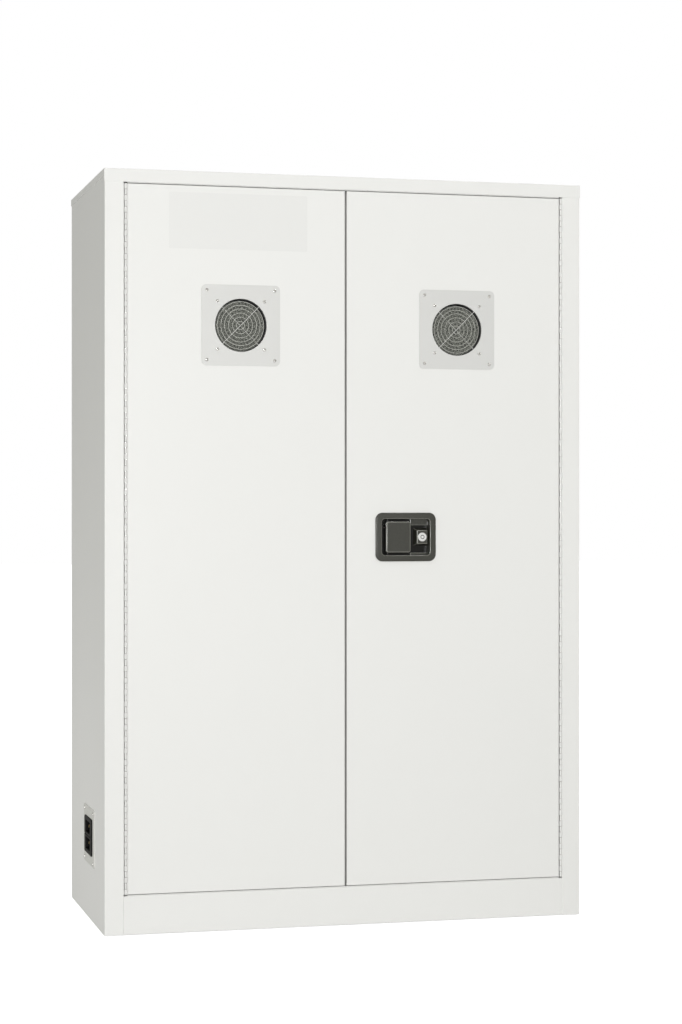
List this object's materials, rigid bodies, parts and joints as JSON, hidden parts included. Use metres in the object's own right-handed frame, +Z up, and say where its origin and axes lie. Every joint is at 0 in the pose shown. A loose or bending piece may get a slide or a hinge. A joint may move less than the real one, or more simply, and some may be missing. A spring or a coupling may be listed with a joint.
{
  "type": "battery charging cabinet",
  "caption": "Tall two-door steel battery charging cabinet with fan vents in the doors, a recessed paddle latch, shelves with power strips and a side power inlet.",
  "frame": {"origin": "centre of the whole outline in plan, on the floor", "axes": "+X to the right when facing the doors, +Y from the doors to the back, +Z up"},
  "size_m": [1.0952, 0.4602, 1.651],
  "materials": {
    "cabinet_paint": "satin white powder coat",
    "zinc": "zinc plated",
    "vent_aluminium": "satin anodised",
    "wire": "bright plated wire",
    "filter_mesh": "knitted mesh",
    "fan_plastic": "black moulded",
    "latch_black": "black textured powder coat",
    "lock_chrome": "polished",
    "inlet_plastic": "black moulded",
    "contact_brass": "plated",
    "rubber": "black",
    "nylon": "natural",
    "strip_metal": "grey powder coat",
    "outlet_plastic": "black",
    "inlet_steel": "satin"
  },
  "bodies": {
    "cabinet": {"back_liner": "cabinet_paint", "back_panel": "cabinet_paint", "base_pan": "cabinet_paint", "cable_duct": "strip_metal", "door_stops": "cabinet_paint", "foot_pads": "rubber", "foot_stems": "zinc", "head_channel": "cabinet_paint", "hinge_pins": "zinc", "inlet_blades": "contact_brass", "inlet_body": "inlet_plastic", "inlet_plate": "inlet_steel", "inlet_screws": "zinc", "left_hinge_frame_leaf": "cabinet_paint", "left_side_liner": "cabinet_paint", "left_side_panel": "cabinet_paint", "power_strip_1": "strip_metal", "power_strip_2": "strip_metal", "power_strip_3": "strip_metal", "right_hinge_frame_leaf": "cabinet_paint", "right_side_liner": "cabinet_paint", "right_side_panel": "cabinet_paint", "rod_strikes": "zinc", "shelf_1": "cabinet_paint", "shelf_2": "cabinet_paint", "shelf_3": "cabinet_paint", "shelf_clips": "zinc", "shelf_standards": "zinc", "sill_panel": "cabinet_paint", "strip_sockets": "outlet_plastic", "sump_tray": "cabinet_paint", "top_cap": "cabinet_paint", "top_liner": "cabinet_paint"},
    "left_door": {"left_door_skin": "cabinet_paint", "left_door_liner": "cabinet_paint", "left_vent_plate": "vent_aluminium", "left_vent_screws": "zinc", "left_vent_guard": "wire", "left_vent_filter": "filter_mesh", "left_fan_frame": "fan_plastic", "left_hinge_door_leaf": "cabinet_paint"},
    "right_door": {"right_door_skin": "cabinet_paint", "right_door_liner": "cabinet_paint", "right_vent_plate": "vent_aluminium", "right_vent_screws": "zinc", "right_vent_guard": "wire", "right_vent_filter": "filter_mesh", "right_fan_frame": "fan_plastic", "right_hinge_door_leaf": "cabinet_paint", "latch_dish": "latch_black", "lock_housing": "lock_chrome", "cam_stud": "zinc", "rod_guides": "nylon"},
    "left_fan": {"left_fan_rotor": "fan_plastic"},
    "right_fan": {"right_fan_rotor": "fan_plastic"},
    "paddle": {"paddle": "latch_black"},
    "lock_plug": {"lock_plug": "lock_chrome"},
    "rod_cam": {"rod_cam": "zinc"},
    "upper_rod": {"upper_rod": "zinc"},
    "lower_rod": {"lower_rod": "zinc"}
  },
  "joints": [
    {"name": "left_door_swing", "type": "hinge", "parent": "cabinet", "child": "left_door", "pos_m": [-0.49715, -0.22665, 0.8545], "axis": [0, 0, -1], "range_deg": [0, 170]},
    {"name": "right_door_swing", "type": "hinge", "parent": "cabinet", "child": "right_door", "pos_m": [0.50045, -0.22665, 0.8545], "axis": [0, 0, 1], "range_deg": [0, 170]},
    {"name": "left_fan_spin", "type": "hinge", "parent": "left_door", "child": "left_fan", "pos_m": [-0.24235, -0.21645, 1.319], "axis": [0, 1, 0], "continuous": true},
    {"name": "right_fan_spin", "type": "hinge", "parent": "right_door", "child": "right_fan", "pos_m": [0.25365, -0.21645, 1.319], "axis": [0, 1, 0], "continuous": true},
    {"name": "paddle_pull", "type": "hinge", "parent": "right_door", "child": "paddle", "pos_m": [0.09315, -0.22065, 0.857], "axis": [0, 0, -1], "range_deg": [0, 25], "stiffness_Nm_per_rad": 1, "springref_deg": -11.46},
    {"name": "cam_turn", "type": "hinge", "parent": "right_door", "child": "rod_cam", "pos_m": [0.09915, -0.20565, 0.857], "axis": [0, 1, 0], "range_deg": [0, 25]},
    {"name": "upper_rod_slide", "type": "slide", "parent": "right_door", "child": "upper_rod", "axis": [0, 0, -1], "range_m": [0, 0.01019]},
    {"name": "lower_rod_slide", "type": "slide", "parent": "right_door", "child": "lower_rod", "axis": [0, 0, 1], "range_m": [0, 0.01019]},
    {"name": "lock_turn", "type": "hinge", "parent": "right_door", "child": "lock_plug", "pos_m": [0.17365, -0.22265, 0.857], "axis": [0, 1, 0], "range_deg": [0, 90]}
  ],
  "couplings": [
    {"joint": "cam_turn", "follows": "paddle_pull", "ratio": 1},
    {"joint": "upper_rod_slide", "follows": "paddle_pull", "m_per_rad": 0.023246},
    {"joint": "lower_rod_slide", "follows": "paddle_pull", "m_per_rad": 0.023246}
  ]
}
